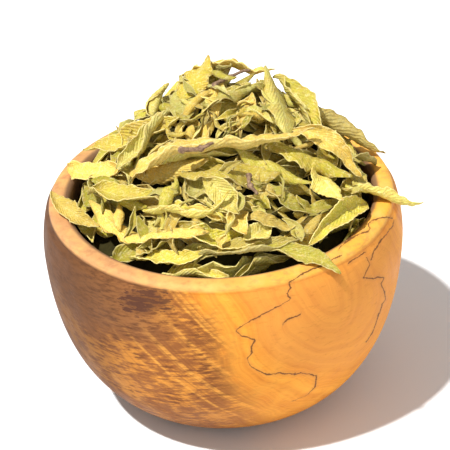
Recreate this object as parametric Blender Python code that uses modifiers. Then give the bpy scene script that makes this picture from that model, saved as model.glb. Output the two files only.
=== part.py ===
# Dried lemon verbena leaves heaped in a turned bowl of spalted wood.
# Metres, +Z up, origin at the centre of the foot; the front, as photographed, is -Y.
import math
import random

import bpy
from mathutils import Matrix, Vector
from mathutils.bvhtree import BVHTree

for old in list(bpy.data.objects):
    bpy.data.objects.remove(old, do_unlink=True)

mm = 0.001

# Driving dimensions, in millimetres
bowl_height = 81.5
rim_outer_radius = 62.0
rim_inner_radius = 54.3
widest_radius = 65.3
foot_radius = 23.0
floor_thickness = 10.0
bed_clearance = 0.4
heap_peak = 28.0
heap_edge = -3.0
mound_height = 12.0
bed_below_heap = 4.6
leaf_thickness = 0.6
rest_gap = 0.36
bend_slope = 0.42
wide_segments = 2
long_segments = 9
leaf_seed = 11

assembly = bpy.data.collections.new("dried_lemon_verbena_bowl")
bpy.context.scene.collection.children.link(assembly)


def material(name, colour, roughness):
    made = bpy.data.materials.new(name)
    made.use_nodes = True
    shader = made.node_tree.nodes["Principled BSDF"]
    shader.inputs["Base Color"].default_value = (*colour, 1.0)
    shader.inputs["Roughness"].default_value = roughness
    return made


wood = material("spalted_wood", (0.60, 0.30, 0.11), 0.45)
bed_green = material("leaf_bed_green", (0.22, 0.21, 0.07), 0.85)
leaf_green = material("leaf_green", (0.42, 0.42, 0.16), 0.7)
leaf_pale = material("leaf_pale", (0.56, 0.54, 0.28), 0.7)
leaf_gold = material("leaf_gold", (0.60, 0.46, 0.17), 0.7)
leaf_olive = material("leaf_olive", (0.28, 0.27, 0.07), 0.7)
stem_brown = material("stem_brown", (0.23, 0.13, 0.06), 0.8)


def add_mesh(name, points, edges, faces, finish):
    mesh = bpy.data.meshes.new(name)
    mesh.from_pydata([[c * mm for c in point] for point in points], edges, faces)
    mesh.materials.append(finish)
    made = bpy.data.objects.new(name, mesh)
    assembly.objects.link(made)
    return made


# The outside of the bowl: fullest a little under the rim, then rounding in to a small flat foot
def outside_radius(z):
    down = (bowl_height - z) / bowl_height
    radius = foot_radius + (widest_radius - foot_radius) * (1 - down ** 2.9) ** (1 / 1.95)
    if down < 0.25:
        radius -= (widest_radius - rim_outer_radius) * ((0.25 - down) / 0.25) ** 2
    return radius


def inside_radius(z):
    up = max(0.0, (z - floor_thickness) / (bowl_height - floor_thickness))
    return rim_inner_radius * (1 - (1 - up) ** 2.6) ** (1 / 2.1)


def turned(name, outline, finish, steps):
    edges = [(i, i + 1) for i in range(len(outline) - 1)]
    made = add_mesh(name, [(r, 0.0, z) for r, z in outline], edges, [], finish)
    screw = made.modifiers.new("turn", "SCREW")
    screw.axis = "Z"
    screw.steps = steps
    screw.render_steps = steps
    screw.use_merge_vertices = True
    screw.merge_threshold = 0.0001
    screw.use_normal_calculate = True
    screw.use_smooth_shade = True
    return made


rim_middle = (rim_outer_radius + rim_inner_radius) / 2
half_wall = (rim_outer_radius - rim_inner_radius) / 2
rim_drop = 3.0
bowl_outline = []
for i in range(7):
    angle = math.radians(90 - 15 * i)
    bowl_outline.append(
        (
            rim_middle + half_wall * math.cos(angle) ** 0.75 if i else rim_middle,
            bowl_height - rim_drop + rim_drop * math.sin(angle),
        )
    )
for z in (74, 68, 62, 55, 47, 39, 31, 23, 16, 10, 5.5, 2.5, 0.8):
    bowl_outline.append((outside_radius(z), z))
bowl_outline += [(foot_radius, 0.0), (0.0, 0.0), (0.0, floor_thickness)]
for z in (10.8, 13, 17, 23, 31, 40, 50, 60, 70, 75.5):
    bowl_outline.append((inside_radius(z), z))
for i in range(6, 0, -1):
    angle = math.radians(90 + 15 * i)
    bowl_outline.append(
        (
            rim_middle - half_wall * abs(math.cos(angle)) ** 0.75,
            bowl_height - rim_drop + rim_drop * math.sin(angle),
        )
    )
bowl_outline.append(bowl_outline[0])
bowl = turned("bowl", bowl_outline, wood, 56)


# The heap of leaves: its top surface above the rim, with a mound towards the back
def heap_height(x, y):
    reach = 62.0 if y < 8 else 46.0
    rise = 1 - ((x - 2) / 54) ** 2 - ((y - 8) / reach) ** 2
    mound = mound_height * math.exp(-(((x - 1) / 32) ** 2) - ((y - 21) / 18) ** 2)
    return bowl_height + heap_edge + (heap_peak - heap_edge) * rise + mound


def heap_normal(x, y):
    slope_x = (heap_height(x + 2, y) - heap_height(x - 2, y)) / 4
    slope_y = (heap_height(x, y + 2) - heap_height(x, y - 2)) / 4
    return Vector((-slope_x, -slope_y, 1)).normalized()


# The packed leaves under the loose ones, one solid that fills the bowl
def bed():
    rng = random.Random(leaf_seed)
    around = 40
    points = [(0.0, 0.0, floor_thickness + bed_clearance)]
    rings = []
    for z in (12.0, 20.0, 31.0, 44.0, 58.0, 68.0):
        radius = inside_radius(z) - 1.2
        rings.append([(radius, z)] * around)
    for share in (0.94, 0.82, 0.68, 0.52, 0.36, 0.18):
        ring = []
        for k in range(around):
            turn = 2 * math.pi * k / around
            radius = share * (inside_radius(72) - 1.0)
            x, y = radius * math.cos(turn), radius * math.sin(turn)
            low = heap_height(x, y) - bed_below_heap + rng.uniform(-1.3, 1.3)
            ring.append((radius, max(70.0, low)))
        rings.append(ring)
    faces = []
    for ring in rings:
        for k, (radius, z) in enumerate(ring):
            turn = 2 * math.pi * k / around
            points.append((radius * math.cos(turn), radius * math.sin(turn), z))
    points.append((0.0, 0.0, heap_height(0, 0) - bed_below_heap))
    for k in range(around):
        faces.append((0, 1 + (k + 1) % around, 1 + k))
        last = 1 + (len(rings) - 1) * around
        faces.append((last + k, last + (k + 1) % around, len(points) - 1))
        for j in range(len(rings) - 1):
            low, high = 1 + j * around, 1 + (j + 1) * around
            n = (k + 1) % around
            faces.append((low + k, low + n, high + n, high + k))
    return add_mesh("leaf_bed", points, [], faces, bed_green)


# One dried leaf: a midrib bent from base to tip, and a blade folded or rolled along it
def leaf_points(row, across, along):
    x, y, lift, heading, length, width, pitch, arch, sweep, bank, cup = row[1:12]
    up = heap_normal(x, y)
    if math.hypot(x, y) > 50:
        up = (up + Vector((0, 0, 1.2))).normalized()
    arch = 0.5 * arch + 0.9 * length
    ahead = Vector((math.cos(math.radians(heading)), math.sin(math.radians(heading)), 0))
    ahead = (ahead - up * ahead.dot(up)).normalized()
    ahead = Matrix.Rotation(math.radians(-pitch), 3, up.cross(ahead)) @ ahead
    up = Matrix.Rotation(math.radians(-pitch), 3, up.cross(ahead).normalized()) @ up
    up = (up - ahead * ahead.dot(up)).normalized()
    side = up.cross(ahead)
    ahead = Matrix.Rotation(math.radians(-arch / 2), 3, side) @ ahead
    ahead = Matrix.Rotation(math.radians(-sweep / 2), 3, up) @ ahead
    centre = Vector((0, 0, 0))
    steps = 36
    line = []
    for i in range(steps + 1):
        side = up.cross(ahead).normalized()
        up = ahead.cross(side).normalized()
        line.append((centre.copy(), ahead.copy(), side.copy(), up.copy()))
        ahead = Matrix.Rotation(math.radians(arch / steps), 3, side) @ ahead
        ahead = Matrix.Rotation(math.radians(sweep / steps), 3, up) @ ahead
        side = up.cross(ahead).normalized()
        up = ahead.cross(side).normalized()
        centre = centre + ahead * (length / steps)
    middle = line[steps // 2][0]
    points = []
    for i in range(along + 1):
        t = i / along
        place, ahead, side, up = line[round(t * steps)]
        half = max(0.5, width / 2 * (math.sin(math.pi * min(1.0, 0.06 + 0.92 * t)) ** 0.8))
        tilt = math.radians(bank)
        side_b = side * math.cos(tilt) + up * math.sin(tilt)
        up_b = up * math.cos(tilt) - side * math.sin(tilt)
        for j in range(across + 1):
            s = 2 * j / across - 1
            bend = math.radians(cup) / 2
            if abs(bend) < 0.02:
                out, rise = half * s, 0.0
            else:
                radius = half / bend
                out, rise = radius * math.sin(bend * s), radius * (1 - math.cos(bend * s))
            points.append(place - middle + side_b * out + up_b * rise)
    base = Vector((x, y, heap_height(x, y) + lift))
    return [base + point for point in points]


# How high the pieces already placed reach under or over a point
def top_under(point):
    above = Vector((point.x * mm, point.y * mm, 0.2))
    top = -1.0
    for tree, others, low, high in placed:
        if low[0] <= above.x <= high[0] and low[1] <= above.y <= high[1] and high[2] > top:
            hit = tree.ray_cast(above, Vector((0, 0, -1)))[0]
            if hit is not None:
                top = max(top, hit.z)
    return top / mm


# Each crosswise row of a leaf sinks until it rests, and the blade bends only so much between rows
def drape(points, across, along, length):
    wide = across + 1
    needed = []
    for i in range(along + 1):
        rises = []
        for j in range(wide):
            for near in (max(i - 1, 0), i, min(i + 1, along)):
                for share in (0.0, 0.5):
                    at = points[i * wide + j].lerp(points[near * wide + j], share)
                    if j < across:
                        next_at = points[i * wide + j + 1].lerp(points[near * wide + j + 1], share)
                        middle = at.lerp(next_at, 0.5)
                        rises.append(top_under(middle) - middle.z)
                    rises.append(top_under(at) - at.z)
        needed.append(max(rises) + rest_gap + leaf_thickness / 2 + 0.15)
    spacing = length / along
    rises = []
    for i in range(along + 1):
        rises.append(max(needed[k] - bend_slope * spacing * abs(k - i) for k in range(along + 1)))
    smooth = []
    for i in range(along + 1):
        near = rises[max(i - 1, 0)] + rises[min(i + 1, along)]
        smooth.append(max(rises[i], 0.5 * rises[i] + 0.25 * near))
    for i in range(along + 1):
        for j in range(wide):
            points[i * wide + j].z += smooth[i]


def leaf(row):
    across = 4 if abs(row[11]) > 110 else wide_segments
    points = leaf_points(row, across, long_segments)
    drape(points, across, long_segments, row[5])
    faces = []
    for i in range(long_segments):
        for j in range(across):
            a = i * (across + 1) + j
            faces.append((a, a + 1, a + across + 2, a + across + 1))
    made = add_mesh(row[0], points, [], faces, row[12])
    shell = made.modifiers.new("thickness", "SOLIDIFY")
    shell.thickness = leaf_thickness * mm
    shell.offset = 0.0
    shell.use_even_offset = False
    return made


def twig(name, x, y, lift, heading, length, bend, thick):
    curve = bpy.data.curves.new(name, "CURVE")
    curve.dimensions = "3D"
    curve.bevel_depth = thick * mm / 2
    curve.bevel_resolution = 1
    curve.use_fill_caps = True
    curve.resolution_u = 4
    spline = curve.splines.new("POLY")
    count = 6
    spline.points.add(count - 1)
    base = Vector((x, y, heap_height(x, y) + lift))
    for i in range(count):
        t = i / (count - 1) - 0.5
        turn = math.radians(heading + bend * t)
        step = Vector((math.cos(turn), math.sin(turn), 0.12 * math.sin(6 * t)))
        spline.points[i].co = (*((base + step * (length * t)) * mm), 1.0)
    curve.materials.append(stem_brown)
    made = bpy.data.objects.new(name, curve)
    assembly.objects.link(made)
    return made


# The evaluated shape of an object, for measuring the room between pieces
def shape_of(made):
    graph = bpy.context.evaluated_depsgraph_get()
    evaluated = made.evaluated_get(graph)
    mesh = evaluated.to_mesh()
    points = [made.matrix_world @ v.co for v in mesh.vertices]
    mesh.calc_loop_triangles()
    faces = [tuple(t.vertices) for t in mesh.loop_triangles]
    evaluated.to_mesh_clear()
    return points, faces


placed = []


def keep(made):
    bpy.context.view_layer.update()
    points, faces = shape_of(made)
    tree = BVHTree.FromPolygons(points, faces)
    middles = [(points[a] + points[b]) / 2 for f in faces for a, b in ((f[0], f[1]), (f[1], f[2]))]
    lows = [min(p[i] for p in points) for i in range(3)]
    highs = [max(p[i] for p in points) for i in range(3)]
    placed.append((tree, points + middles, lows, highs))


def has_room(points, faces, middles):
    gap = rest_gap * mm
    tree = BVHTree.FromPolygons(points, faces)
    lows = [min(p[i] for p in points) - gap for i in range(3)]
    highs = [max(p[i] for p in points) + gap for i in range(3)]
    for other, others, low, high in placed:
        if any(lows[i] > high[i] or highs[i] < low[i] for i in range(3)):
            continue
        if tree.overlap(other):
            return False
        if any(other.find_nearest(p, gap)[0] is not None for p in points + middles):
            return False
        for p in others:
            if all(lows[i] < p[i] < highs[i] for i in range(3)):
                if tree.find_nearest(p, gap)[0] is not None:
                    return False
    return True


# Lowers a piece from above until it rests just clear of what lies under it
def settle(made, start=0.0, lowest=-14.0):
    bpy.context.view_layer.update()
    points, faces = shape_of(made)

    def free(rise):
        moved = [p + Vector((0, 0, rise * mm)) for p in points]
        middles = [(moved[a] + moved[b]) / 2 for f in faces for a, b in ((f[0], f[1]), (f[1], f[2]))]
        return has_room(moved, faces, middles)

    rise = start
    while not free(rise):
        rise += 0.5
    while rise > lowest and free(rise - 1.0):
        rise -= 1.0
    step = 0.5
    while step > 0.05:
        if free(rise - step):
            rise -= step
        step /= 2
    for item in (made.data.vertices if made.type == "MESH" else made.data.splines[0].points):
        item.co.z += rise * mm
    print(f"{made.name} {rise:.1f}", end=" ")
    keep(made)


G, P, Y, O = leaf_green, leaf_pale, leaf_gold, leaf_olive
# name, x, y, lift, heading, length, width, pitch, arch, sweep, bank, cup, finish
# From the bottom of the heap to the top: places and sizes in mm, turns in degrees
leaf_rows = [
    ("leaf_left_wall", -44, -3, -3, -70, 26, 9, 0, 25, 0, 25, 50, O),
    ("leaf_left_shade", -36, -14, -3, -40, 30, 9, 0, 20, 10, 10, 60, O),
    ("leaf_front_left_dark", -24, -36, -3, 10, 34, 9, 0, 20, -10, -10, 50, O),
    ("leaf_front_mid_dark", 2, -42, -2, -5, 32, 9, 0, 20, 10, -5, 60, O),
    ("leaf_front_right_dark", 32, -33, -2, 40, 34, 9, 0, 20, 5, 0, 60, G),
    ("leaf_right_deep", 45, -12, -2, 80, 32, 9, 0, 25, 0, -10, 60, G),
    ("leaf_back_right_deep", 36, 26, -2, 130, 34, 10, 0, 25, 0, 0, 50, G),
    ("leaf_back_deep", 4, 38, -2, 185, 40, 10, 0, 25, 10, 0, 60, O),
    ("leaf_back_left_deep", -32, 28, -2, 225, 36, 10, 0, 25, 0, 0, 50, G),
    ("leaf_over_left_rim", -53, -12, 3, -40, 27, 7, 6, 10, 15, 0, 60, Y),
    ("leaf_front_narrow", -20, -44, 1, 2, 30, 7, 4, 20, 14, -15, 60, G),
    ("leaf_front_gold", -30, -31, 1, -36, 56, 9, 0, 26, 30, -5, 55, Y),
    ("leaf_left_long", -34, -19, 2, -14, 42, 8, 4, 24, 26, -15, 60, G),
    ("leaf_front_pale", 9, -46, 2, 12, 36, 8, 2, 20, 12, -15, 50, P),
    ("leaf_front_tail", 27, -48, 4, -22, 27, 7, 0, 40, -40, 0, 60, G),
    ("leaf_rolled_right", 41, -30, 2, -128, 36, 9, 0, 14, -14, 0, 190, G),
    ("leaf_small_green", 12, -41, 2, 60, 14, 7, 10, 15, 0, 0, 60, P),
    ("leaf_strap", 18, -37, 2, 2, 26, 5, 0, 10, 60, -20, 40, Y),
    ("leaf_pointed", 5, -38, 2, -78, 18, 7, 0, 20, 0, 0, 80, Y),
    ("leaf_tan_crescent", -13, -34, 2, -12, 32, 8, 0, 24, 30, -20, 60, G),
    ("leaf_curl_grey", -18, -27, 2, 60, 20, 8, 8, 40, 10, 10, 110, G),
    ("leaf_crumple_mid", -8, -26, 3, 110, 20, 9, 8, 45, 0, 0, 100, P),
    ("leaf_crumple_right", 1, -32, 3, -60, 20, 8, 0, 45, -20, 10, 100, P),
    ("leaf_u_curl", 25, -29, 2, -20, 40, 6, 0, 20, 110, -20, 70, G),
    ("leaf_right_ribbed", 37, -22, 2, -50, 22, 9, 6, 30, 0, 0, 70, P),
    ("leaf_over_right_rim", 56, -14, 4, -4, 29, 9, 24, -20, -14, -10, 50, G),
    ("leaf_thin_edge", 49, -7, 3, -78, 32, 6, 0, 24, -20, 55, 60, P),
    ("leaf_back_right_wide", 48, 6, 3, 12, 28, 9, 10, 20, 10, -10, 45, P),
    ("leaf_left_curl_tip", -47, 9, 4, 150, 32, 8, 20, 10, -20, 0, 70, Y),
    ("leaf_left_behind", -30, 9, 3, 168, 44, 10, 0, 22, 14, -15, 60, G),
    ("leaf_below_arch", -22, -10, 3, -22, 40, 10, 0, 26, 16, -20, 60, Y),
    ("leaf_shield", 4, -22, 2, 8, 34, 11, 0, 26, -10, -20, 70, G),
    ("leaf_mid_left", -26, 0, 2, 30, 30, 9, 0, 25, 10, 0, 60, P),
    ("leaf_mid_centre", -6, -13, 2, 15, 32, 10, 0, 25, 0, -10, 60, G),
    ("leaf_mid_right", 18, -16, 2, -25, 32, 9, 0, 25, -10, -10, 60, G),
    ("leaf_olive_right", 31, -12, 3, -18, 32, 11, 0, 30, 0, -5, 60, O),
    ("leaf_edge_strip", 39, -7, 4, -20, 34, 7, 0, 24, 0, 40, 60, Y),
    ("leaf_upper_right", 44, 17, 5, 2, 36, 9, 26, -10, 16, -20, 60, Y),
    ("leaf_back_right", 22, 27, 2, 60, 36, 10, 0, 28, 0, 0, 60, G),
    ("leaf_back_low", -4, 32, 2, 115, 38, 10, 0, 28, 0, 0, 60, P),
    ("leaf_back_left", -22, 24, 2, 205, 38, 10, 0, 28, 10, 0, 60, G),
    ("leaf_arch", -3, -15, 4, 2, 68, 11, 0, 34, -6, -34, 60, Y),
    ("leaf_mid_top", 8, 6, 2, -10, 30, 10, 0, 25, 0, 0, 60, G),
    ("leaf_back_top", 4, 27, 2, 170, 34, 10, 0, 25, 0, 0, 60, Y),
    ("leaf_right_top", 30, 14, 2, -40, 30, 10, 0, 25, 0, 0, 60, G),
    ("leaf_strip_tan", -2, 4, 4, -105, 27, 6, 0, 34, 10, 0, 50, Y),
    ("leaf_narrow_pale", 6, 8, 4, 42, 26, 6, 0, 26, 20, 0, 60, P),
    ("leaf_gold_crescent", 10, 1, 3, 60, 18, 5, 0, 20, 60, 0, 50, Y),
    ("leaf_ribbed_hood", 23, 7, 5, -66, 36, 12, 0, 50, -10, 10, 80, P),
    ("leaf_oval", -12, 8, 5, -100, 20, 9, 0, 30, 0, 0, 60, P),
    ("leaf_top_crumple", -8, 17, 6, 40, 26, 12, 24, 20, 20, 0, 90, O),
    ("leaf_top_cone", -20, 15, 6, 42, 21, 13, 22, 0, 0, 0, 200, G),
]

bpy.context.view_layer.update()
keep(bowl)
keep(bed())
for row in leaf_rows:
    settle(leaf(row))
settle(twig("twig_bud", -7, -20, 3, 20, 14, 30, 1.8))
settle(twig("twig_mid", 10, -31, 3, -80, 13, 20, 1.6))
settle(twig("twig_top", 5, 16, 4, 40, 18, -20, 1.5))
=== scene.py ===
import math
import random

import bpy
from mathutils import Matrix, Vector, noise
from mathutils.bvhtree import BVHTree


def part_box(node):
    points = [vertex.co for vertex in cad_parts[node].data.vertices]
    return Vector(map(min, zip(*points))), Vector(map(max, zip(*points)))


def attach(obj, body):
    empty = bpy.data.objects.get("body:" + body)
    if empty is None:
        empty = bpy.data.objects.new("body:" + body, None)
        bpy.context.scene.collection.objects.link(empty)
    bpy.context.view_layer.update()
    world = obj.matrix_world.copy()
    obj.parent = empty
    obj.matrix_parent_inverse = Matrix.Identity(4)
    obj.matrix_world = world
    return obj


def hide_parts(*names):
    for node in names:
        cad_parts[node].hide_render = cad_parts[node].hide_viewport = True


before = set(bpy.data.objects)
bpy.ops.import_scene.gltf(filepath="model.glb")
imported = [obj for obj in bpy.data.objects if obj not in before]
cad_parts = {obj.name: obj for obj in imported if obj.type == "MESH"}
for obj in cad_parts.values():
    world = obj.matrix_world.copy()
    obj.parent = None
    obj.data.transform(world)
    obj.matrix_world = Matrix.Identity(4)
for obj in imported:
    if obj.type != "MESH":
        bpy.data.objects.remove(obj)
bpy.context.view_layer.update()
print("frame loaded")

mm = 0.001  # sizes here are in millimetres
bowlHeight = 81.5
rimInner = 54.3
photoSide = 450  # pixels across and down

# The photograph's angle through a long lens, turned a little so that the bowl leans as it does there
cameraPlan = {
    "lookDown": 31.7,  # degrees below level
    "roll": 3.0,
    "distance": 744.0,  # from the middle of the rim
    "sensorWidth": 36.0,
    "focalShare": 4.618,  # focal length over sensor width
    "rimPlace": (-0.0091, 0.0784),  # the middle of the rim, in picture widths from the picture's centre
    "clip": (0.05, 20.0),
}
lookDown = math.radians(cameraPlan["lookDown"])


def makeCamera():
    data = bpy.data.cameras.new("photoCamera")
    data.sensor_width = cameraPlan["sensorWidth"]
    data.lens = cameraPlan["sensorWidth"] * cameraPlan["focalShare"]
    data.clip_start, data.clip_end = cameraPlan["clip"]
    camera = bpy.data.objects.new("photoCamera", data)
    bpy.context.scene.collection.objects.link(camera)
    away = Vector((0, -math.cos(lookDown), math.sin(lookDown)))
    upward = Vector((0, math.sin(lookDown), math.cos(lookDown)))
    right = Vector((1, 0, 0))
    camera.location = (Vector((0, 0, bowlHeight)) + away * cameraPlan["distance"]) * mm
    roll = math.radians(cameraPlan["roll"])
    rolledRight = right * math.cos(roll) - upward * math.sin(roll)
    rolledUp = right * math.sin(roll) + upward * math.cos(roll)
    rimAcross, rimUp = cameraPlan["rimPlace"]
    aim = away * cameraPlan["focalShare"] + rolledRight * rimAcross + rolledUp * rimUp
    aim.normalize()
    sideways = rolledUp.cross(aim).normalized()
    top = aim.cross(sideways)
    turn = Matrix((sideways, top, aim)).transposed()
    camera.rotation_euler = turn.to_euler()
    bpy.context.scene.camera = camera


makeCamera()
print("camera placed")


def newMaterial(name):
    made = bpy.data.materials.new(name)
    made.use_nodes = True
    tree = made.node_tree
    return made, tree, tree.nodes["Principled BSDF"]


def addNode(tree, kind, **settings):
    node = tree.nodes.new(kind)
    for key, value in settings.items():
        setattr(node, key, value)
    return node


# Gives a socket what it reads: another socket, a number, three numbers or a colour
def feed(tree, socket, value):
    if isinstance(value, bpy.types.NodeSocket):
        tree.links.new(value, socket)
    elif socket.type == "RGBA":
        socket.default_value = (*value, 1.0)
    else:
        socket.default_value = value


def feedAll(tree, node, values):
    for name, value in values.items():
        feed(tree, node.inputs[name], value)


def addBump(tree, shader, height, strength, distance):
    bump = addNode(tree, "ShaderNodeBump")
    feedAll(tree, bump, {"Strength": strength, "Distance": distance, "Height": height})
    feed(tree, shader.inputs["Normal"], bump.outputs["Normal"])


def calc(tree, operation, *values):
    node = addNode(tree, "ShaderNodeMath", operation=operation)
    for place, value in enumerate(values):
        feed(tree, node.inputs[place], value)
    return node.outputs[0]


def plus(tree, first, second):
    return calc(tree, "ADD", first, second)


def minus(tree, first, second):
    return calc(tree, "SUBTRACT", first, second)


def times(tree, first, second):
    return calc(tree, "MULTIPLY", first, second)


# The length of a flat arrow, from its two parts
def lengthOf(tree, first, second):
    return calc(tree, "SQRT", plus(tree, times(tree, first, first), times(tree, second, second)))


# A value from 0 to 1 spread evenly on both sides of zero, to the given width
def centred(tree, value, spread):
    return calc(tree, "MULTIPLY_ADD", value, spread, -spread / 2)


def ranged(tree, value, fromLow, fromHigh, low=0.0, high=1.0):
    node = addNode(tree, "ShaderNodeMapRange", interpolation_type="SMOOTHSTEP")
    feedAll(tree, node, {"Value": value, "From Min": fromLow, "From Max": fromHigh})
    feedAll(tree, node, {"To Min": low, "To Max": high})
    return node.outputs["Result"]


def blendColour(tree, share, first, second):
    node = addNode(tree, "ShaderNodeMix", data_type="RGBA")
    for place, value in ((0, share), (6, first), (7, second)):
        feed(tree, node.inputs[place], value)
    return node.outputs[2]


# Lays colours over one another in order, each by its own share
def layered(tree, colour, layers):
    for share, tone in layers:
        colour = blendColour(tree, share, colour, tone)
    return colour


def noiseOf(tree, vector, scale, detail=3.0, roughness=0.55, distortion=0.0):
    node = addNode(tree, "ShaderNodeTexNoise")
    feedAll(tree, node, {"Vector": vector, "Scale": scale, "Detail": detail})
    feedAll(tree, node, {"Roughness": roughness, "Distortion": distortion})
    return node.outputs["Fac"]


def scaled(tree, vector, amounts):
    node = addNode(tree, "ShaderNodeVectorMath", operation="MULTIPLY")
    feed(tree, node.inputs[0], vector)
    feed(tree, node.inputs[1], amounts)
    return node.outputs[0]


def objectPlace(tree):
    place = addNode(tree, "ShaderNodeTexCoord").outputs["Object"]
    return scaled(tree, place, (1 / mm, 1 / mm, 1 / mm))


def joined(tree, x, y, z):
    node = addNode(tree, "ShaderNodeCombineXYZ")
    for socket, value in zip(node.inputs, (x, y, z)):
        feed(tree, socket, value)
    return node.outputs[0]


def apart(tree, vector):
    node = addNode(tree, "ShaderNodeSeparateXYZ")
    feed(tree, node.inputs[0], vector)
    return node.outputs


# The bowl: its profile in millimetres, the places of its figure and the dark lines in the wood
bowlPlan = {
    "rimOuter": 62.0,
    "widest": 65.3,
    "foot": 23.0,
    "floor": 10.0,
    "rimDrop": 3.0,  # how far down the rounded rim reaches
    "rimTuck": 0.25,  # the share of the height in which the side draws in to the rim
    "outerCurve": (2.9, 1.95),
    "innerCurve": (2.6, 2.1),
    "rimRounding": (0.5, 0.6),  # outside and inside
    "turnSteps": 224,
    "wander": 0.00035,  # how far the turned side strays from true, in metres
    "tongueEnd": (36.0, -39.0),  # the tongue of grain on the right, across and down the figure
    "tongueLean": (-0.42, 0.907),
    "streakCentre": (60.0, 20.0),
    "stainMiddle": (-26.5, -36.0),  # the purple-brown stain on the left
    "stainHalf": (9.0, 4.6),
    "lineWiggle": 1.8,
    "spalting": {  # places in the photograph's pixels, read one by one, running steadily across or down
        "underRim": ("across", [(289, 283), (300, 275), (312, 269), (322, 266), (332, 260), (342, 255)]),
        "upperDrop": ("down", [(289, 283), (291, 288), (287, 293), (290, 299), (281, 305)]),
        "longSlope": ("across", [(281, 305), (267, 312), (255, 319), (245, 324), (236, 331)]),
        "firstStep": ("across", [(236, 331), (242, 336), (250, 338), (255, 340)]),
        "crookedDrop": ("down", [(255, 340), (251, 347), (252, 352), (247, 359), (250, 366)]),
        "lowRun": (
            "across",
            [(250, 366), (258, 370), (268, 375), (280, 373), (292, 374), (304, 373), (317, 376)],
        ),
        "lastDrop": ("down", [(317, 376), (315, 387), (307, 395), (293, 401)]),
        "dash": ("across", [(283, 325), (288, 319), (294, 317), (301, 314)]),
        "loop": ("across", [(339, 249), (344, 243), (352, 238), (361, 233), (369, 231)]),
        "loopEnd": ("down", [(373, 220), (368, 224), (370, 228), (368, 232)]),
        "rimTop": ("across", [(373, 220), (382, 217), (393, 218)]),
        "rimSlope": (
            "down",
            [(394, 220), (393, 226), (388, 232), (382, 239), (377, 247), (373, 253), (371, 260)],
        ),
        "teeth": ("across", [(348, 263), (353, 260), (359, 257), (366, 252)]),
        "notch": ("down", [(366, 257), (370, 264), (368, 269), (363, 277)]),
        "rightStep": ("across", [(363, 277), (372, 279), (378, 277), (384, 278)]),
        "rightDrop": ("down", [(384, 278), (381, 284), (384, 291), (386, 299), (382, 305)]),
        "rightLow": ("down", [(382, 305), (377, 320), (372, 334), (366, 342)]),
    },
}


# Where a place in the picture lands on the bowl: across and down the figure, in millimetres
def onBowl(surface, px, py):
    camera = bpy.context.scene.camera
    turn = camera.rotation_euler.to_matrix()
    across, up = px / photoSide - 0.5, 0.5 - py / photoSide
    toward = turn @ Vector((across, up, -cameraPlan["focalShare"])).normalized()
    spot = surface.ray_cast(camera.location, toward)[0] / mm
    return spot.x, spot.y * math.sin(lookDown) + (spot.z - bowlHeight) * math.cos(lookDown)


lineMargin = 1.0
endSharpness = 3.0


# Turns a list of points into a curve node: how far a place is from the line, in millimetres
def lineDistance(tree, across, down, way, points):
    run, rise = (across, down) if way == "across" else (down, across)
    pairs = points if way == "across" else [(b, a) for a, b in points]
    pairs = sorted(pairs)
    runLow, runHigh = pairs[0][0], pairs[-1][0]
    riseLow = min(p[1] for p in pairs) - lineMargin
    riseHigh = max(p[1] for p in pairs) + lineMargin
    share = calc(tree, "DIVIDE", minus(tree, run, runLow), runHigh - runLow)
    node = addNode(tree, "ShaderNodeFloatCurve")
    curve = node.mapping.curves[0]
    spots = [((a - runLow) / (runHigh - runLow), (b - riseLow) / (riseHigh - riseLow)) for a, b in pairs]
    curve.points[0].location, curve.points[1].location = spots[0], spots[-1]
    for spot in spots[1:-1]:
        curve.points.new(*spot)
    for point in curve.points:
        point.handle_type = "VECTOR"
    node.mapping.update()
    feed(tree, node.inputs["Value"], share)
    height = calc(tree, "MULTIPLY_ADD", node.outputs["Value"], riseHigh - riseLow, riseLow)
    off = calc(tree, "ABSOLUTE", minus(tree, rise, height))
    beyond = calc(tree, "MAXIMUM", minus(tree, runLow, run), minus(tree, run, runHigh))
    return calc(tree, "MAXIMUM", off, times(tree, beyond, endSharpness))


# How dark the spalting lines are at a place, and how strong the brown halo beside them is
def spaltLines(tree, inMm, x, down, surface):
    jitter = noiseOf(tree, inMm, 0.35, 4.0, 0.7)
    jitterToo = noiseOf(tree, scaled(tree, inMm, (1.0, 1.0, -1.0)), 0.4, 4.0, 0.7)
    lineAcross = plus(tree, x, centred(tree, jitter, bowlPlan["lineWiggle"]))
    lineDown = plus(tree, down, centred(tree, jitterToo, bowlPlan["lineWiggle"]))
    nearest = None
    for way, places in bowlPlan["spalting"].values():
        points = [onBowl(surface, px, py) for px, py in places]
        distance = lineDistance(tree, lineAcross, lineDown, way, points)
        nearest = distance if nearest is None else calc(tree, "MINIMUM", nearest, distance)
    lineWidth = calc(tree, "MULTIPLY_ADD", noiseOf(tree, inMm, 0.15, 2.0), 0.62, -0.10)
    lines = ranged(tree, calc(tree, "DIVIDE", nearest, lineWidth), 1.5, 0.6)
    halo = ranged(tree, nearest, 1.6, 0.0, 0.0, 0.28)
    return lines, halo


# Growth rings: how far a place is from the tongue of grain, and how far along it
def growthRings(tree, bend, x, down):
    endX, endDown = bowlPlan["tongueEnd"]
    leanX, leanDown = bowlPlan["tongueLean"]
    fromX = minus(tree, plus(tree, x, bend), endX)
    fromDown = minus(tree, plus(tree, down, bend), endDown)
    run = plus(tree, times(tree, fromX, leanX), times(tree, fromDown, leanDown))
    along = calc(tree, "MAXIMUM", run, 0.0)
    offX = minus(tree, fromX, times(tree, along, leanX))
    offDown = minus(tree, fromDown, times(tree, along, leanDown))
    return lengthOf(tree, offX, offDown), along


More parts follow.
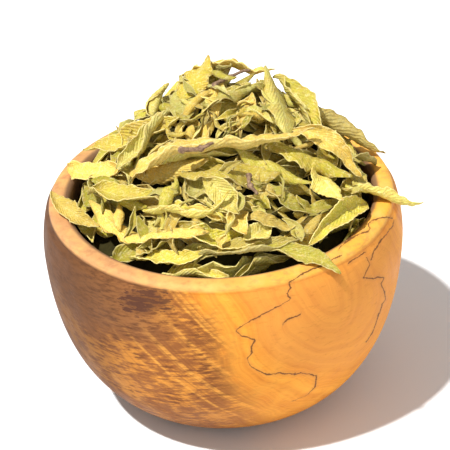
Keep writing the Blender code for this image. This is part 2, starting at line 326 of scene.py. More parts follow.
# The brown side: hatched and streaked, dusty under the rim and darkest at the far left
def brownWood(tree, inMm, x, y, z, down, bend, mottle, hatch):
    patches = noiseOf(tree, inMm, 0.055, 3.0, 0.6)
    brownShare = ranged(tree, plus(tree, hatch, centred(tree, patches, 0.9)), 0.34, 0.54)
    tone = blendColour(tree, brownShare, (0.62, 0.245, 0.036), (0.285, 0.098, 0.024))
    deep = ranged(tree, plus(tree, hatch, centred(tree, mottle, 0.6)), 0.56, 0.70, 0.0, 0.8)
    tone = blendColour(tree, deep, tone, (0.125, 0.042, 0.014))
    # Pale and dark streaks in wide arcs around a place beyond the upper right of the bowl
    centreX, centreDown = bowlPlan["streakCentre"]
    arcX = minus(tree, calc(tree, "MULTIPLY_ADD", bend, 0.35, x), centreX)
    arc = lengthOf(tree, arcX, minus(tree, down, centreDown))
    streaks = noiseOf(tree, joined(tree, arc, 0.0, 7.0), 0.34, 3.0, 0.6)
    broken = ranged(tree, hatch, 0.64, 0.40, 0.10, 0.85)
    streakShare = times(tree, ranged(tree, streaks, 0.50, 0.62), broken)
    tone = blendColour(tree, streakShare, tone, (0.74, 0.330, 0.055))
    darkStreaks = noiseOf(tree, joined(tree, arc, 0.0, 19.0), 0.5, 3.0, 0.6)
    darkShare = ranged(tree, darkStreaks, 0.52, 0.66, 0.0, 0.55)
    tone = blendColour(tree, darkShare, tone, (0.20, 0.068, 0.018))
    # Under the rim on the left the wood is an even dusty brown
    dusty = times(tree, ranged(tree, z, 50.0, 66.0), ranged(tree, x, -10.0, -32.0))
    hatchShare = ranged(tree, hatch, 0.40, 0.66)
    dustyTone = blendColour(tree, hatchShare, (0.27, 0.108, 0.036), (0.11, 0.042, 0.016))
    tone = blendColour(tree, times(tree, dusty, 0.95), tone, dustyTone)
    return blendColour(tree, ranged(tree, x, -24.0, -56.0, 0.0, 0.8), tone, (0.095, 0.040, 0.017))


def stainShare(tree, x, down, hatch):
    middleX, middleDown = bowlPlan["stainMiddle"]
    halfX, halfDown = bowlPlan["stainHalf"]
    offX = calc(tree, "DIVIDE", minus(tree, x, middleX), halfX)
    offDown = calc(tree, "DIVIDE", minus(tree, down, middleDown), halfDown)
    far = plus(tree, times(tree, offX, offX), times(tree, offDown, offDown))
    return ranged(tree, plus(tree, far, centred(tree, hatch, 8.0)), 1.0, 0.2, 0.0, 0.85)


# The inner wall's painted shade: places nearer the axis than a line a little way into the wall
def innerShadeShare(tree, x, y, z):
    fullness, rounding = bowlPlan["innerCurve"]
    rise = calc(tree, "DIVIDE", minus(tree, z, bowlPlan["floor"]), bowlHeight - bowlPlan["floor"])
    left = minus(tree, 1.0, calc(tree, "MAXIMUM", rise, 0.0))
    curve = calc(tree, "POWER", calc(tree, "MAXIMUM", left, 0.0), fullness)
    inner = calc(tree, "POWER", minus(tree, 1.0, curve), 1 / rounding)
    intoWall = 2.0
    edge = calc(tree, "MULTIPLY_ADD", inner, rimInner, intoWall)
    return ranged(tree, minus(tree, lengthOf(tree, x, y), edge), 0.8, -0.8)


def spaltedWood(surface):
    made, tree, shader = newMaterial("spaltedWood")
    inMm = objectPlace(tree)
    x, y, z = apart(tree, inMm)
    # The figure runs through the wood along one direction, as layers in a solid block do
    sunk = minus(tree, z, bowlHeight)
    down = calc(tree, "MULTIPLY_ADD", sunk, math.cos(lookDown), times(tree, y, math.sin(lookDown)))
    lines, halo = spaltLines(tree, inMm, x, down, surface)
    bend = centred(tree, noiseOf(tree, inMm, 0.035, 2.0), 10.0)
    ring, along = growthRings(tree, bend, x, down)
    bands = noiseOf(tree, joined(tree, ring, 0.0, times(tree, along, 0.01)), 0.32, 4.0, 0.6)
    fineBands = noiseOf(tree, joined(tree, ring, times(tree, down, 0.03), 4.0), 1.5, 3.0, 0.6)
    mottle = noiseOf(tree, inMm, 0.10, 5.0, 0.62, 0.4)
    # Short dark flecks that cross the grain
    flecks = noiseOf(tree, scaled(tree, inMm, (0.28, 0.28, 1.0)), 1.15, 4.0, 0.65)
    slanted = calc(tree, "MULTIPLY_ADD", x, -0.12, z)
    hatchPlace = joined(tree, times(tree, x, 0.22), times(tree, y, 0.22), slanted)
    hatch = noiseOf(tree, hatchPlace, 0.85, 5.0, 0.68)

    golden = blendColour(
        tree, ranged(tree, bands, 0.36, 0.66), (0.80, 0.32, 0.034), (0.62, 0.205, 0.020)
    )
    golden = layered(tree, golden, (
        (ranged(tree, fineBands, 0.45, 0.72, 0.0, 0.30), (0.50, 0.150, 0.018)),
        (ranged(tree, mottle, 0.35, 0.75, 0.0, 0.45), (0.84, 0.40, 0.066)),
        (ranged(tree, ring, 33.0, 22.0, 0.0, 0.55), (0.66, 0.262, 0.058)),
        (ranged(tree, flecks, 0.52, 0.74, 0.0, 0.34), (0.40, 0.12, 0.018)),
    ))

    brown = brownWood(tree, inMm, x, y, z, down, bend, mottle, hatch)
    farFromTongue = ranged(tree, plus(tree, ring, centred(tree, mottle, 26.0)), 34.0, 50.0)
    leftSide = ranged(tree, plus(tree, x, times(tree, down, 0.1)), 12.0, -16.0)
    outside = blendColour(tree, times(tree, farFromTongue, leftSide), golden, brown)
    frontSide = ranged(tree, y, 5.0, -10.0)
    stain = times(tree, stainShare(tree, x, down, hatch), frontSide)
    outside = blendColour(tree, stain, outside, (0.06, 0.022, 0.016))
    # Painted shade: the wood is darkened towards the foot, most of all on the left
    footShadeRamp = ranged(tree, calc(tree, "MULTIPLY_ADD", mottle, 14.0, z), 40.0, 10.0)
    footShadeShare = times(tree, footShadeRamp, ranged(tree, x, 35.0, -30.0, 0.35, 0.75))
    outside = blendColour(tree, footShadeShare, outside, (0.115, 0.040, 0.011))

    # The rim is paler, pinkish on the left; the inner wall is painted shade, a dark grey-brown
    rimColour = blendColour(
        tree, ranged(tree, x, -40.0, 30.0), (0.62, 0.31, 0.13), (0.80, 0.41, 0.058)
    )
    rimColour = layered(tree, rimColour, (
        (ranged(tree, flecks, 0.45, 0.7, 0.0, 0.5), (0.42, 0.17, 0.07)),
        (ranged(tree, mottle, 0.4, 0.7, 0.0, 0.5), (0.88, 0.56, 0.17)),
    ))
    onRim = times(tree, ranged(tree, z, bowlHeight - 2.6, bowlHeight - 1.2), 0.85)
    innerWallShade = blendColour(tree, mottle, (0.10, 0.055, 0.032), (0.25, 0.14, 0.08))
    colour = layered(tree, outside, (
        (onRim, rimColour),
        (times(tree, innerShadeShare(tree, x, y, z), 0.9), innerWallShade),
        (times(tree, halo, frontSide), (0.42, 0.17, 0.06)),
        (times(tree, lines, 0.85), (0.085, 0.032, 0.014)),
    ))
    gloss = ranged(tree, mottle, 0.3, 0.7, 0.50, 0.66)
    feedAll(tree, shader, {"Base Color": colour, "Roughness": gloss, "Specular IOR Level": 0.10})
    grain = plus(tree, fineBands, times(tree, flecks, -0.8))
    addBump(tree, shader, grain, strength=0.35, distance=0.0004)
    return made


def outsideRadius(z):
    fullness, rounding = bowlPlan["outerCurve"]
    foot, widest, tuck = bowlPlan["foot"], bowlPlan["widest"], bowlPlan["rimTuck"]
    drop = (bowlHeight - z) / bowlHeight
    radius = foot + (widest - foot) * (1 - drop ** fullness) ** (1 / rounding)
    if drop < tuck:
        radius -= (widest - bowlPlan["rimOuter"]) * ((tuck - drop) / tuck) ** 2
    return radius


def insideRadius(z):
    fullness, rounding = bowlPlan["innerCurve"]
    up = max(0.0, (z - bowlPlan["floor"]) / (bowlHeight - bowlPlan["floor"]))
    return rimInner * (1 - (1 - up) ** fullness) ** (1 / rounding)


# The bowl's outline from the top of the rim down the outside, under the foot and up the inside
def bowlOutline():
    rimMiddle = (bowlPlan["rimOuter"] + rimInner) / 2
    halfWall = (bowlPlan["rimOuter"] - rimInner) / 2
    foot, floor, rimDrop = bowlPlan["foot"], bowlPlan["floor"], bowlPlan["rimDrop"]
    roundOut, roundIn = bowlPlan["rimRounding"]
    shoulder = bowlHeight - rimDrop
    outline = []
    for i in range(19):
        angle = math.radians(90 - 5 * i)
        out = halfWall * max(0.0, math.cos(angle)) ** roundOut
        outline.append((rimMiddle + out, shoulder + rimDrop * math.sin(angle)))
    z = shoulder - 1.2
    while z > 1.2:
        outline.append((outsideRadius(z), z))
        z -= 1.6 if z > 12 else 0.7
    outline += [(foot + 0.9, 0.35), (foot, 0.0), (foot * 0.5, 0.0), (0.0, 0.0)]
    outline += [(0.0, floor), (4.0, floor + 0.1)]
    z = floor + 0.8
    while z < shoulder - 1.0:
        outline.append((insideRadius(z), z))
        z += 0.8 if z < 18 else 2.0
    for i in range(18, 0, -1):
        angle = math.radians(90 + 5 * i)
        out = halfWall * abs(math.cos(angle)) ** roundIn
        outline.append((rimMiddle - out, shoulder + rimDrop * math.sin(angle)))
    return outline


def surfaceTree(mesh):
    places = [vertex.co for vertex in mesh.vertices]
    return BVHTree.FromPolygons(places, [tuple(face.vertices) for face in mesh.polygons])


def makeBowl():
    outline = bowlOutline()
    mesh = bpy.data.meshes.new("turnedBowl")
    steps = [(i, (i + 1) % len(outline)) for i in range(len(outline))]
    links = [(a, b) for a, b in steps if outline[a][0] > 0 or outline[b][0] > 0]
    mesh.from_pydata([(r * mm, 0.0, h * mm) for r, h in outline], links, [])
    bowl = bpy.data.objects.new("turned_bowl", mesh)
    bpy.context.scene.collection.objects.link(bowl)
    turn = bowl.modifiers.new("turn", "SCREW")
    turn.axis = "Z"
    turn.steps = turn.render_steps = bowlPlan["turnSteps"]
    turn.use_merge_vertices = True
    turn.merge_threshold = 0.00005
    turn.use_normal_calculate = True
    bpy.context.view_layer.objects.active = bowl
    bpy.ops.object.select_all(action="DESELECT")
    bowl.select_set(True)
    bpy.ops.object.modifier_apply(modifier="turn")
    bpy.ops.object.mode_set(mode="EDIT")
    bpy.ops.mesh.select_all(action="SELECT")
    bpy.ops.mesh.normals_make_consistent(inside=False)
    bpy.ops.object.mode_set(mode="OBJECT")
    # Hand-turned wood is never quite true, apart from the foot and the middle of the floor
    for vertex in bowl.data.vertices:
        if vertex.co.z > 2 * mm:
            wander = noise.noise(vertex.co * 22.0) * bowlPlan["wander"]
            flat = Vector((vertex.co.x, vertex.co.y, 0))
            if flat.length > 10 * mm:
                vertex.co += flat.normalized() * wander
    bpy.ops.object.shade_smooth()
    bowl.data.materials.append(spaltedWood(surfaceTree(bowl.data)))
    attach(bowl, "root")
    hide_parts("bowl")


makeBowl()
print("bowl made")


# The figure of a dried leaf, shared by the leaf materials: the leafPlan map runs along and across
def makeLeafFigure():
    tree = bpy.data.node_groups.new("driedLeafFigure", "ShaderNodeTree")
    toneNames = ("Main", "Second", "Vein", "Brown", "Underside")
    sockets = [(name, "INPUT", "Color") for name in toneNames]
    sockets.append(("Blotch Scale", "INPUT", "Float"))
    sockets += [("Leaf Colour", "OUTPUT", "Color"), ("Relief", "OUTPUT", "Float")]
    for name, way, kind in sockets:
        tree.interface.new_socket(name=name, in_out=way, socket_type="NodeSocket" + kind)
    given = addNode(tree, "NodeGroupInput").outputs
    main, second, vein, brown, under = [given[name] for name in toneNames]
    inMm = objectPlace(tree)
    flat = addNode(tree, "ShaderNodeUVMap", uv_map="leafPlan")
    along, across = apart(tree, flat.outputs["UV"])[:2]
    tint = addNode(tree, "ShaderNodeAttribute", attribute_name="leafTint")
    tints = addNode(tree, "ShaderNodeSeparateColor")
    feed(tree, tints.inputs[0], tint.outputs["Color"])
    shade, age, below = tints.outputs
    cloudy = noiseOf(tree, inMm, 0.11, 3.0, 0.6)
    blotch = noiseOf(tree, scaled(tree, inMm, (1.0, 1.0, 1.3)), given["Blotch Scale"], 4.0, 0.65)
    fine = noiseOf(tree, inMm, 1.6, 4.0, 0.7)
    tan = noiseOf(tree, inMm, 0.45, 3.0, 0.6, 0.5)
    pale = noiseOf(tree, scaled(tree, inMm, (1.0, 1.0, 1.4)), 0.75, 4.0, 0.7, 0.8)
    fromRib = calc(tree, "ABSOLUTE", minus(tree, across, 0.5))
    # Side veins run forward from the midrib at a slant
    veinRun = calc(tree, "MULTIPLY_ADD", along, 17.0, times(tree, fromRib, -9.0))
    wave = calc(tree, "ABSOLUTE", minus(tree, calc(tree, "FRACT", veinRun), 0.5))
    ridge = ranged(tree, wave, 0.5, 0.0)
    warm = ranged(tree, plus(tree, cloudy, centred(tree, age, 0.7)), 0.42, 0.85)
    edge = plus(tree, fromRib, centred(tree, blotch, 0.5))
    tip = plus(tree, along, centred(tree, blotch, 0.3))
    colour = blendColour(tree, ranged(tree, cloudy, 0.3, 0.7), main, second)
    colour = layered(tree, colour, (
        (times(tree, warm, 0.7), (0.60, 0.43, 0.10)),
        (times(tree, below, 0.62), under),
        (ranged(tree, edge, 0.40, 0.52, 0.0, 0.40), brown),
        (ranged(tree, tip, 0.90, 1.02, 0.0, 0.6), brown),
        (ranged(tree, fromRib, 0.465, 0.49, 0.0, 0.7), (0.86, 0.75, 0.36)),  # painted highlight: the pale edge of the blade, where it catches the light
        (ranged(tree, blotch, 0.60, 0.76, 0.0, 0.55), brown),
        (times(tree, ranged(tree, wave, 0.10, 0.0), 0.16), vein),
        (ranged(tree, ridge, 0.0, 1.0, 0.10, 0.0), (0.20, 0.17, 0.03)),  # shade between the ridges
        (times(tree, ranged(tree, fromRib, 0.045, 0.018), 0.40), vein),
        (ranged(tree, tan, 0.46, 0.66, 0.0, 0.46), (0.58, 0.39, 0.13)),
        (ranged(tree, pale, 0.50, 0.66, 0.0, 0.50), (0.78, 0.73, 0.42)),
        (ranged(tree, fine, 0.35, 0.75, 0.0, 0.46), (0.26, 0.23, 0.06)),
    ))
    bright = addNode(tree, "ShaderNodeHueSaturation")
    brightness = calc(tree, "MULTIPLY_ADD", shade, 0.66, 0.96)
    feedAll(tree, bright, {"Color": colour, "Saturation": 1.08, "Value": brightness})
    relief = plus(tree, times(tree, ridge, 0.7), times(tree, fine, 1.1))
    result = addNode(tree, "NodeGroupOutput")
    feedAll(tree, result, {"Leaf Colour": bright.outputs[0], "Relief": relief})
    return tree


def driedLeaf(figure, name, tones, blotchScale):
    made, tree, shader = newMaterial(name)
    placed = addNode(tree, "ShaderNodeGroup", node_tree=figure)
    for socket, value in zip(placed.inputs, (*tones, blotchScale)):
        feed(tree, socket, value)
    colour = placed.outputs["Leaf Colour"]
    feedAll(tree, shader, {"Base Color": colour, "Roughness": 0.62, "Specular IOR Level": 0.35})
    addBump(tree, shader, placed.outputs["Relief"], strength=0.5, distance=0.0006)
    glow = addNode(tree, "ShaderNodeBsdfTranslucent")
    feed(tree, glow.inputs["Color"], colour)
    mixed = addNode(tree, "ShaderNodeMixShader")
    mixed.inputs[0].default_value = 0.22
    feed(tree, mixed.inputs[1], shader.outputs[0])
    feed(tree, mixed.inputs[2], glow.outputs[0])
    feed(tree, tree.nodes["Material Output"].inputs["Surface"], mixed.outputs[0])
    return made


# Each kind of leaf: its slot, its material, its five tones and the size of its blotches
leafKinds = {
    "G": ("leaf_green", "greenLeaf", (
        (0.60, 0.51, 0.10), (0.45, 0.41, 0.075), (0.72, 0.62, 0.22), (0.38, 0.20, 0.035), (0.62, 0.56, 0.20),
    ), 0.33),
    "P": ("leaf_pale", "paleLeaf", (
        (0.68, 0.61, 0.19), (0.55, 0.51, 0.14), (0.78, 0.71, 0.33), (0.44, 0.28, 0.07), (0.70, 0.65, 0.28),
    ), 0.34),
    "Y": ("leaf_gold", "goldLeaf", (
        (0.80, 0.59, 0.17), (0.66, 0.49, 0.13), (0.86, 0.70, 0.27), (0.48, 0.24, 0.035), (0.74, 0.61, 0.24),
    ), 0.35),
    "O": ("leaf_olive", "oliveLeaf", (
        (0.47, 0.41, 0.06), (0.34, 0.31, 0.04), (0.60, 0.52, 0.14), (0.28, 0.16, 0.03), (0.52, 0.48, 0.15),
    ), 0.36),
}
leafFigure = makeLeafFigure()
leafFinish = {kind: (plan[0], driedLeaf(leafFigure, *plan[1:])) for kind, plan in leafKinds.items()}
print("leaf finishes made")


# The heap of leaves, as the CAD part shapes it: a dome with a mound behind its middle
heapPlan = {
    "peak": 28.0,  # above the rim
    "edge": -3.0,
    "middle": (2, 8),
    "across": 54,
    "frontReach": 62.0,
    "backReach": 46.0,
    "mound": 12.0,
    "moundMiddle": (1, 21),
    "moundSize": (32, 18),
    "bedBelow": 4.6,  # how far the bed of packed leaves lies under the surface
    "rimZone": 50,  # farther out than this, leaves lie flatter
    "rimFlatness": 1.2,
}


def heapHeight(x, y):
    middleX, middleY = heapPlan["middle"]
    moundX, moundY = heapPlan["moundMiddle"]
    wide, deep = heapPlan["moundSize"]
    reach = heapPlan["frontReach"] if y < middleY else heapPlan["backReach"]
    rise = 1 - ((x - middleX) / heapPlan["across"]) ** 2 - ((y - middleY) / reach) ** 2
    mound = heapPlan["mound"] * math.exp(-(((x - moundX) / wide) ** 2) - ((y - moundY) / deep) ** 2)
    return bowlHeight + heapPlan["edge"] + (heapPlan["peak"] - heapPlan["edge"]) * rise + mound


def heapNormal(x, y):
    slopeX = (heapHeight(x + 2, y) - heapHeight(x - 2, y)) / 4
    slopeY = (heapHeight(x, y + 2) - heapHeight(x, y - 2)) / 4
    return Vector((-slopeX, -slopeY, 1)).normalized()


def turned(direction, degrees, axis):
    return Matrix.Rotation(math.radians(degrees), 3, axis) @ direction


lineSteps = 36


# The midrib's run: places and directions from base to tip
def midribLine(x, y, lift, heading, length, pitch, arch, sweep):
    up = heapNormal(x, y)
    if math.hypot(x, y) > heapPlan["rimZone"]:
        up = (up + Vector((0, 0, heapPlan["rimFlatness"]))).normalized()
    arch = 0.5 * arch + 0.9 * length
    ahead = Vector((math.cos(math.radians(heading)), math.sin(math.radians(heading)), 0))
    ahead = (ahead - up * ahead.dot(up)).normalized()
    ahead = turned(ahead, -pitch, up.cross(ahead))
    up = turned(up, -pitch, up.cross(ahead).normalized())
    up = (up - ahead * ahead.dot(up)).normalized()
    ahead = turned(ahead, -arch / 2, up.cross(ahead))
    ahead = turned(ahead, -sweep / 2, up)
    centre = Vector((0, 0, 0))
    line = []
    for i in range(lineSteps + 1):
        side = up.cross(ahead).normalized()
        up = ahead.cross(side).normalized()
        line.append((centre.copy(), ahead.copy(), side.copy(), up.copy()))
        ahead = turned(ahead, arch / lineSteps, side)
        ahead = turned(ahead, sweep / lineSteps, up)
        side = up.cross(ahead).normalized()
        up = ahead.cross(side).normalized()
        centre = centre + ahead * (length / lineSteps)
    middle = line[lineSteps // 2][0].copy()
    base = Vector((x, y, heapHeight(x, y) + lift))
    return [(base + place - middle, a, s, u) for place, a, s, u in line]


def between(line, t):
    spot = min(max(t, 0.0), 1.0) * lineSteps
    i = min(int(spot), lineSteps - 1)
    share = spot - i
    return [line[i][k].lerp(line[i + 1][k], share) for k in range(4)]


# How far each place on the midrib was lifted in the CAD part, read off its solid
def liftsOf(node, line):
    tree = surfaceTree(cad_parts[node].data)
    checks = 9
    clearance = 0.3
    found = []
    for i in range(checks + 1):
        place = line[round(i / checks * lineSteps)][0]
        hit = tree.ray_cast(Vector((place.x * mm, place.y * mm, 0.0)), Vector((0, 0, 1)))[0]
        found.append(None if hit is None else hit.z / mm + clearance - place.z)
    known = [i for i, rise in enumerate(found) if rise is not None]
    return [found[min(known, key=lambda k: abs(k - i))] for i in range(checks + 1)]


def liftAt(lifts, t):
    spot = t * (len(lifts) - 1)
    i = min(int(spot), len(lifts) - 2)
    share = spot - i
    ease = share * share * (3 - 2 * share)
    return lifts[i] * (1 - ease) + lifts[i + 1] * ease


# How a dried blade bends: lengths in millimetres, angles in degrees
bladePlan = {
    "rollShares": (0.35, 2.0),  # how much more or less one half rolls than the other
    "tipCurl": (-0.5, 1.5),
    "baseCurl": (-0.3, 1.0),
    "reversed": 0.38,  # the share of leaves whose edges turn down
    "extraRoll": 55,
    "twist": 62,
    "heave": (1.5, 9.0),  # height and length of the long waves
    "ruffle": (1.9, 4.6, 2.1),  # height, and the lengths of the coarse and fine waves at the edge
    "dent": (0.7, 7.0, 5.0),
    "keel": 0.10,
    "rib": 0.17,
    "notch": 0.022,
}


def noiseAt(phase, x, y, z):
    return noise.noise(phase + Vector((x, y, z)))


def ruffleAt(phase, run, s):
    coarse, fine = bladePlan["ruffle"][1:]
    row = 3 if s > 0 else 9
    return noiseAt(phase, run / coarse, 0, row) + 0.5 * noiseAt(phase, run / fine, 7, row)


# The places of a blade's middle surface: folded, rolled, ruffled and ribbed
def bladeGrid(rng, line, width, bank, cup, lifts, along, across, rough, ribs):
    leftRoll, rightRoll = rng.uniform(*bladePlan["rollShares"]), rng.uniform(*bladePlan["rollShares"])
    tipCurl = rng.uniform(*bladePlan["tipCurl"]) * rough
    baseCurl = rng.uniform(*bladePlan["baseCurl"]) * rough
    if rough > 0.5 and rng.random() < bladePlan["reversed"]:
        cup = -0.8 * cup
    phase = Vector((rng.uniform(-90, 90), rng.uniform(-90, 90), rng.uniform(-90, 90)))
    length = sum((line[i + 1][0] - line[i][0]).length for i in range(lineSteps))
    fullRoll = cup + math.copysign(bladePlan["extraRoll"] * rough, cup)
    heaveHeight, heaveLength = bladePlan["heave"]
    dentDepth, dentLength, dentWidth = bladePlan["dent"]
    grid = []
    for i in range(along + 1):
        t = i / along
        run = t * length
        place, ahead, side, up = between(line, t)
        outline = math.sin(math.pi * min(1.0, 0.015 + 0.97 * t ** 0.9))
        half = width / 2 * max(0.03, outline) ** 0.85
        roll = math.radians(fullRoll * (0.85 + 0.95 * noiseAt(phase, t * 2.6, 0, 0)))
        tilt = math.radians(bank + bladePlan["twist"] * rough * noiseAt(phase, 0, t * 1.9, 5))
        sideNow = side * math.cos(tilt) + up * math.sin(tilt)
        upNow = up * math.cos(tilt) - side * math.sin(tilt)
        heave = heaveHeight * rough * noiseAt(phase, run / heaveLength, 20, 0)
        heave += tipCurl * length * 0.14 * max(0.0, (t - 0.68) / 0.32) ** 2
        heave += baseCurl * length * 0.12 * max(0.0, (0.25 - t) / 0.25) ** 2
        rise = Vector((0, 0, liftAt(lifts, t)))
        row = []
        for j in range(across + 1):
            s = 2 * j / across - 1
            bend = roll / 2 * (rightRoll if s > 0 else leftRoll)
            if abs(bend) < 0.03:
                out, high = half * s, 0.0
            else:
                radius = half / bend
                out, high = radius * math.sin(bend * s), radius * (1 - math.cos(bend * s))
            high += bladePlan["keel"] * half * abs(s)
            wavy = rough * bladePlan["ruffle"][0] * ruffleAt(phase, run, s)
            high += wavy * abs(s) ** 1.8 * min(1.0, half / 3.0)
            if ribs:
                turn = 2 * math.pi * (t * ribs - abs(s) * half / length * ribs * 0.9)
                rib = bladePlan["rib"] * rough * math.cos(turn)
                high += rib * math.sin(math.pi * min(1.0, abs(s) * 1.02))
                notch = bladePlan["notch"] * math.cos(turn + math.pi) * abs(s) ** 3 * half
                out += notch if s > 0 else -notch
            dent = noiseAt(phase, run / dentLength, s * half / dentWidth, 0)
            high += dentDepth * rough * dent + heave
            row.append(place + sideNow * out + upNow * high + rise)
        grid.append(row)
    return grid


def gridNormal(grid, i, j):
    along, across = len(grid) - 1, len(grid[0]) - 1
    ahead = grid[min(i + 1, along)][j] - grid[max(i - 1, 0)][j]
    aside = grid[i][min(j + 1, across)] - grid[i][max(j - 1, 0)]
    normal = ahead.cross(aside)
    return normal.normalized() if normal.length > 1e-9 else Vector((0, 0, 1))


# Adds one leaf to the lists of a mesh, as a thin closed blade
def addBlade(build, line, width, bank, cup, lifts, along, across, rough, ribs, seed, thickness=0.32):
    points, faces, spots, tints = build
    rng = random.Random(seed)
    shade, age = rng.random(), rng.random()
    grid = bladeGrid(rng, line, width, bank, cup, lifts, along, across, rough, ribs)
    normals = [[gridNormal(grid, i, j) for j in range(across + 1)] for i in range(along + 1)]
    wide = across + 1
    first = len(points)
    second = first + (along + 1) * wide
    for face in (1, -1):
        for i in range(along + 1):
            for j in range(wide):
                points.append((grid[i][j] + normals[i][j] * (face * thickness / 2)) * mm)
                spots.append((i / along, j / across))
                tints.append((shade, age, 0.0 if face > 0 else 1.0))
    for i in range(along):
        for j in range(across):
            a = i * wide + j
            quad = (a, a + wide, a + wide + 1, a + 1)
            faces.append(tuple(first + q for q in quad))
            faces.append(tuple(second + q for q in reversed(quad)))
    border = list(range(wide))
    border += [i * wide + across for i in range(1, along + 1)]
    border += [along * wide + j for j in range(across - 1, -1, -1)]
    border += [i * wide for i in range(along - 1, 0, -1)]
    for a, b in zip(border, border[1:] + border[:1]):
        faces.append((first + a, first + b, second + b, second + a))


# A mesh's lists for a piece whose material reads no leafPlan map and no leafTint
def plainBuild(points, faces):
    return points, faces, [(0, 0)] * len(points), [(0, 0, 0)] * len(points)


def finishPiece(name, build, finish, nodes):
    points, faces, spots, tints = build
    mesh = bpy.data.meshes.new(name)
    mesh.from_pydata(points, [], faces)
    mesh.materials.append(finish)
    plan = mesh.uv_layers.new(name="leafPlan")
    colours = mesh.color_attributes.new("leafTint", "FLOAT_COLOR", "POINT")
    for i, tint in enumerate(tints):
        colours.data[i].color = (*tint, 1.0)
    for loop in mesh.loops:
        plan.data[loop.index].uv = spots[loop.vertex_index]
    mesh.shade_smooth()
    mesh.update()
    made = bpy.data.objects.new(name, mesh)
    bpy.context.scene.collection.objects.link(made)
    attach(made, "root")
    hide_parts(*nodes)


